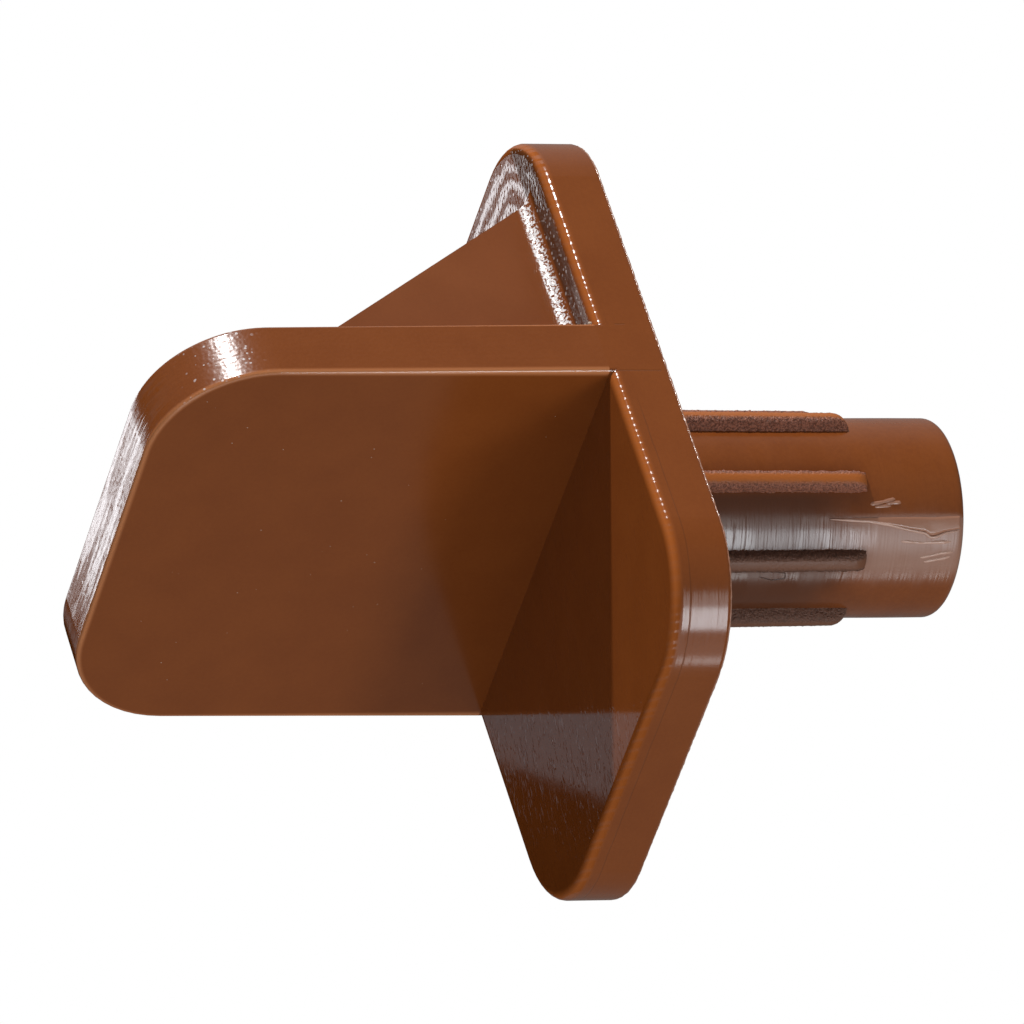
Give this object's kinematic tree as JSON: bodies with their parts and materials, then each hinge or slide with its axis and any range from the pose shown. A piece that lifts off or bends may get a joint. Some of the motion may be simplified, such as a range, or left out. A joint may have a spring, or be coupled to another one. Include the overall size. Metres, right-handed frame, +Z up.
{
  "type": "shelf support",
  "caption": "Brown plastic shelf support: a ledge with gusset cheeks and a rounded plate, held in a cabinet side by a ribbed peg.",
  "frame": {"origin": "on the peg's axis, in the plane of the plate's back face, which lies on the cabinet side", "axes": "+X out over the ledge, away from the cabinet side; the peg runs along -X; +Y across the plate; +Z up"},
  "size_m": [0.0209, 0.012, 0.0163],
  "materials": {
    "shelf_support": "glossy brown moulded plastic"
  },
  "bodies": {
    "root": {"shelf_support": "shelf_support"}
  },
  "joints": []
}
